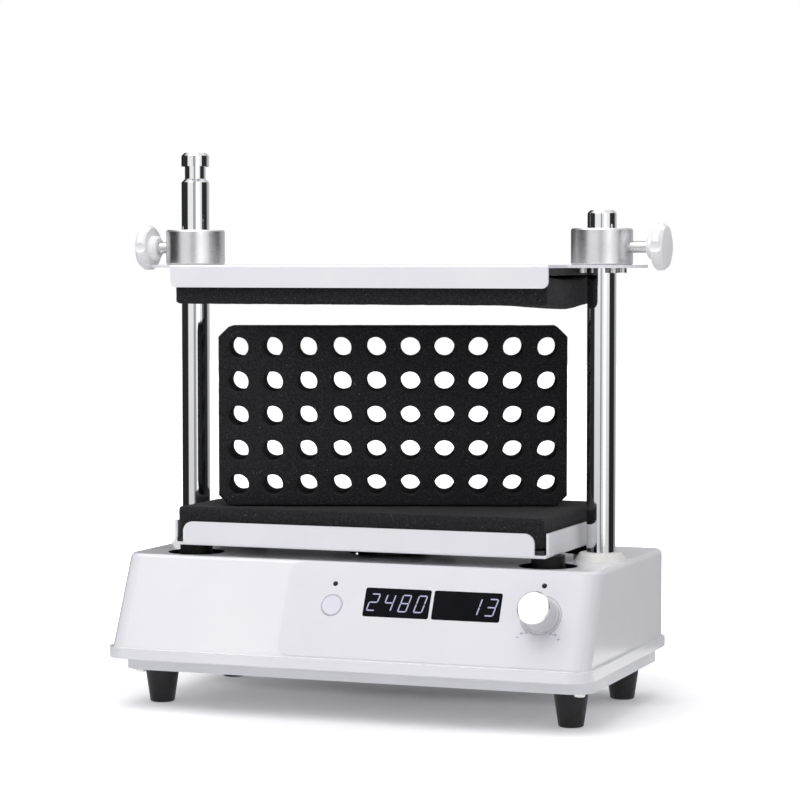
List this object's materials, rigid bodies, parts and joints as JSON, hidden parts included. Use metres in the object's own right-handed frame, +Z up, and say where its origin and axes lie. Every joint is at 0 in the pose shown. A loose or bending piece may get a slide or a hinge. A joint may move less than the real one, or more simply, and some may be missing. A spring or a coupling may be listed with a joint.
{
  "type": "multi-tube vortex mixer",
  "caption": "Bench mixer: a sloped white housing with two columns, an orbiting padded tray with a foam tube rack, and a clamped press plate above it.",
  "frame": {"origin": "on the bench under the middle of the whole object", "axes": "+Z up, -Y towards the user, +X to the user's right"},
  "size_m": [0.3987, 0.2052, 0.3891],
  "materials": {
    "cover_white": "satin gloss",
    "pan_white": "satin",
    "sheet_white": "powder coated",
    "rubber_black": "matte",
    "hub_black": "black anodised",
    "screw_steel": "bright",
    "shaft_steel": "ground",
    "column_chrome": "polished",
    "collar_metal": "satin turned",
    "knob_white": "satin",
    "tip_brass": "turned",
    "foam_black": "open cell foam",
    "board_black": "matte",
    "trim_cream": "satin",
    "film_grey": "fine matte",
    "display_dark": "gloss",
    "lamp_clear": "gloss",
    "key_grey": "fine matte",
    "dial_silver": "spun",
    "chassis_steel": "zinc plated",
    "board_green": "satin",
    "motor_black": "satin",
    "inlet_black": "satin",
    "pin_metal": "bright"
  },
  "bodies": {
    "housing": {"housing_cover": "cover_white", "base_pan": "pan_white", "rubber_feet": "rubber_black", "foot_screws": "screw_steel", "base_screws": "screw_steel", "control_panel_film": "film_grey", "speed_display": "display_dark", "time_display": "display_dark", "indicator_leds": "lamp_clear", "button_switch": "inlet_black", "encoder_body": "inlet_black", "encoder_nut": "screw_steel", "control_board": "board_green", "board_spacers": "screw_steel", "board_screws": "screw_steel", "chassis_plate": "chassis_steel", "chassis_pillars": "screw_steel", "chassis_screws": "screw_steel", "motor": "motor_black", "motor_screws": "screw_steel", "left_column": "column_chrome", "right_column": "column_chrome", "column_nuts": "screw_steel", "column_trim_rings": "trim_cream", "power_inlet": "inlet_black", "inlet_pins": "pin_metal", "power_switch": "inlet_black", "power_supply": "chassis_steel", "motor_driver": "board_green"},
    "start_key": {"start_button": "key_grey"},
    "dial_plunger": {"encoder_plunger": "inlet_black"},
    "speed_dial": {"speed_knob": "dial_silver", "encoder_shaft": "shaft_steel"},
    "drive": {"motor_shaft": "shaft_steel", "eccentric_coupling": "shaft_steel", "counterweight": "shaft_steel"},
    "tray_carrier": {"tray": "sheet_white", "tray_hub": "hub_black", "hub_bearing": "shaft_steel", "hub_screws": "screw_steel", "tray_posts": "rubber_black", "post_screws": "screw_steel", "tray_backing": "board_black", "lower_foam_pad": "foam_black"},
    "rack": {"tube_rack": "foam_black"},
    "press_frame": {"top_plate": "sheet_white", "upper_backing": "board_black", "upper_foam_pad": "foam_black", "collar_screws": "screw_steel", "left_collar": "collar_metal", "right_collar": "collar_metal"},
    "left_tip": {"left_tip_pad": "tip_brass"},
    "left_clamp": {"left_star_knob": "knob_white", "left_clamp_screw": "screw_steel"},
    "right_tip": {"right_tip_pad": "tip_brass"},
    "right_clamp": {"right_star_knob": "knob_white", "right_clamp_screw": "screw_steel"},
    "fuse_carrier": {"fuse_drawer": "inlet_black"},
    "rocker": {"switch_rocker": "inlet_black"}
  },
  "joints": [
    {"name": "start_press", "type": "slide", "parent": "housing", "child": "start_key", "axis": [0, 0.9033, -0.4289], "range_m": [0, 0.0005], "stiffness_N_per_m": 1500},
    {"name": "dial_press", "type": "slide", "parent": "housing", "child": "dial_plunger", "axis": [0, 0.9033, -0.4289], "range_m": [0, 0.0006], "stiffness_N_per_m": 3000},
    {"name": "dial_turn", "type": "hinge", "parent": "dial_plunger", "child": "speed_dial", "pos_m": [0.138, -0.07993, 0.07669], "axis": [0, -0.9033, 0.4289], "continuous": true},
    {"name": "drive_spin", "type": "hinge", "parent": "housing", "child": "drive", "pos_m": [-0.0018, 0.009, 0.07], "axis": [0, 0, 1], "continuous": true},
    {"name": "tray_orbit", "type": "hinge", "parent": "drive", "child": "tray_carrier", "pos_m": [0, 0.009, 0.113], "axis": [0, 0, 1], "continuous": true},
    {"name": "rack_slide", "type": "slide", "parent": "tray_carrier", "child": "rack", "axis": [0.3371, -0.9415, 0], "range_m": [0, 0.16]},
    {"name": "top_lift", "type": "slide", "parent": "housing", "child": "press_frame", "axis": [0, 0, 1], "range_m": [-0.0145, 0.0542]},
    {"name": "left_tip_slide", "type": "slide", "parent": "press_frame", "child": "left_tip", "axis": [-1, 0, 0], "range_m": [0, 0.0025]},
    {"name": "left_knob_turn", "type": "hinge", "parent": "left_tip", "child": "left_clamp", "pos_m": [-0.1818, 0.009, 0.3208], "axis": [-1, 0, 0], "range_deg": [0, 720]},
    {"name": "right_tip_slide", "type": "slide", "parent": "press_frame", "child": "right_tip", "axis": [1, 0, 0], "range_m": [0, 0.0025]},
    {"name": "right_knob_turn", "type": "hinge", "parent": "right_tip", "child": "right_clamp", "pos_m": [0.1861, 0.009, 0.3208], "axis": [1, 0, 0], "range_deg": [0, 720]},
    {"name": "fuse_pull", "type": "slide", "parent": "housing", "child": "fuse_carrier", "axis": [0, 1, 0], "range_m": [0, 0.015]},
    {"name": "rocker_tip", "type": "hinge", "parent": "housing", "child": "rocker", "pos_m": [0.082, 0.099, 0.072], "axis": [1, 0, 0], "range_deg": [0, 16]}
  ],
  "couplings": [
    {"joint": "tray_orbit", "follows": "drive_spin", "ratio": -1},
    {"joint": "left_knob_turn", "follows": "left_tip_slide", "rad_per_m": 5026.5},
    {"joint": "right_knob_turn", "follows": "right_tip_slide", "rad_per_m": 5026.5}
  ]
}
